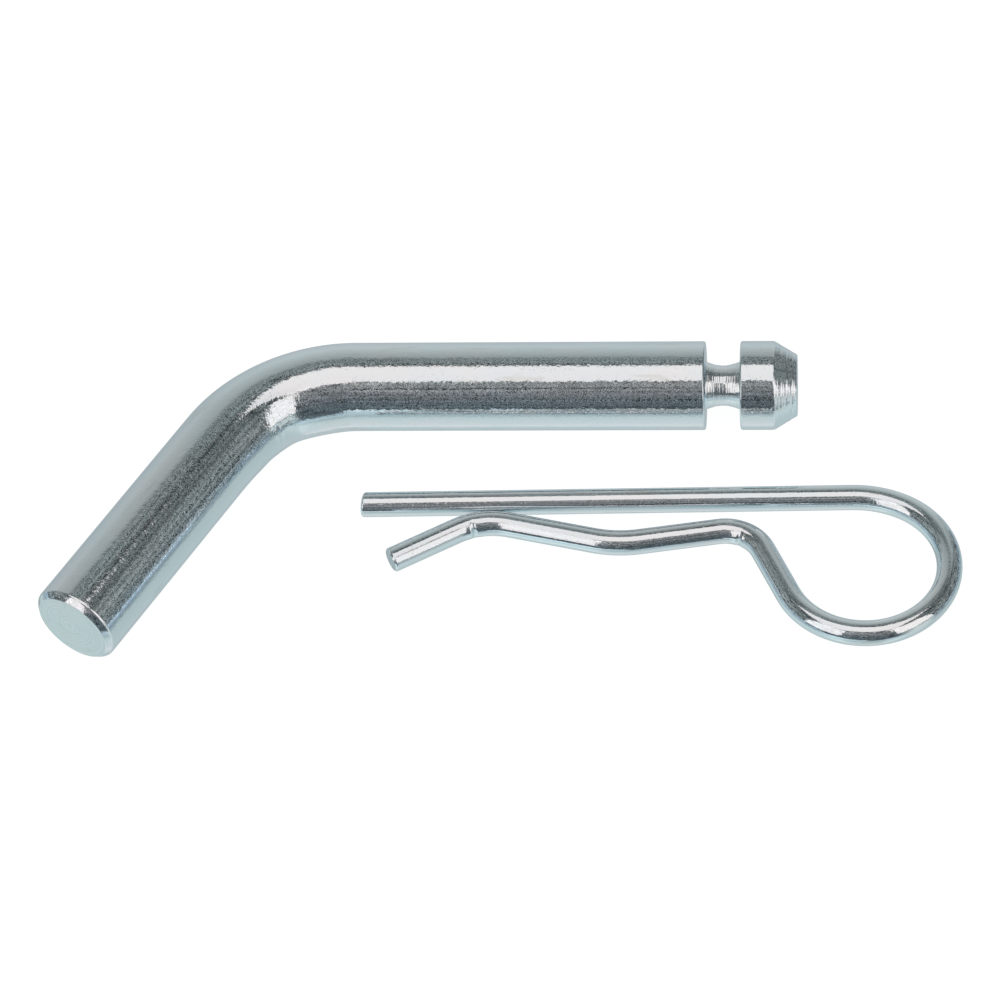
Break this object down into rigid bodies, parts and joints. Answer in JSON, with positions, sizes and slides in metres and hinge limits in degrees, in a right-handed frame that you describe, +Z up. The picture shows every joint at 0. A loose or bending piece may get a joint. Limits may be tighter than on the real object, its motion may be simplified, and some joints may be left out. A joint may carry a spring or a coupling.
{
  "type": "hitch pin with spring clip",
  "caption": "Bent round-bar hitch pin with an angled handle and a grooved, tapered head, lying beside the R-shaped spring-wire clip that snaps into its groove.",
  "frame": {"origin": "on the pin's axis, at the middle of its straight shank", "axes": "+X along the shank to the grooved head; +Y away from the clip and the handle; +Z up, square to the flat surface that the pin and the clip lie on, which is 7.94 mm below the origin"},
  "size_m": [0.1597, 0.0661, 0.0158],
  "materials": {
    "pin_zinc": "bright blue-white zinc plate over a drawn round bar, with lathe marks in the groove and on the head's taper and end faces",
    "clip_zinc": "bright blue-white zinc plate over drawn spring wire"
  },
  "bodies": {
    "pin": {"hitch_pin": "pin_zinc"},
    "clip": {"clip_straight_leg": "clip_zinc", "clip_loop": "clip_zinc"},
    "sprung_leg": {"clip_sprung_leg": "clip_zinc"}
  },
  "joints": [
    {"name": "clip_lift", "type": "slide", "parent": "pin", "child": "clip", "axis": [0, 0, 1], "range_m": [0, 0.06]},
    {"name": "clip_spring", "type": "hinge", "parent": "clip", "child": "sprung_leg", "pos_m": [0.05985, -0.0368, -0.00571], "axis": [0, 0, 1], "range_deg": [0, 7], "stiffness_Nm_per_rad": 59, "deforming": ["clip_loop"]}
  ]
}
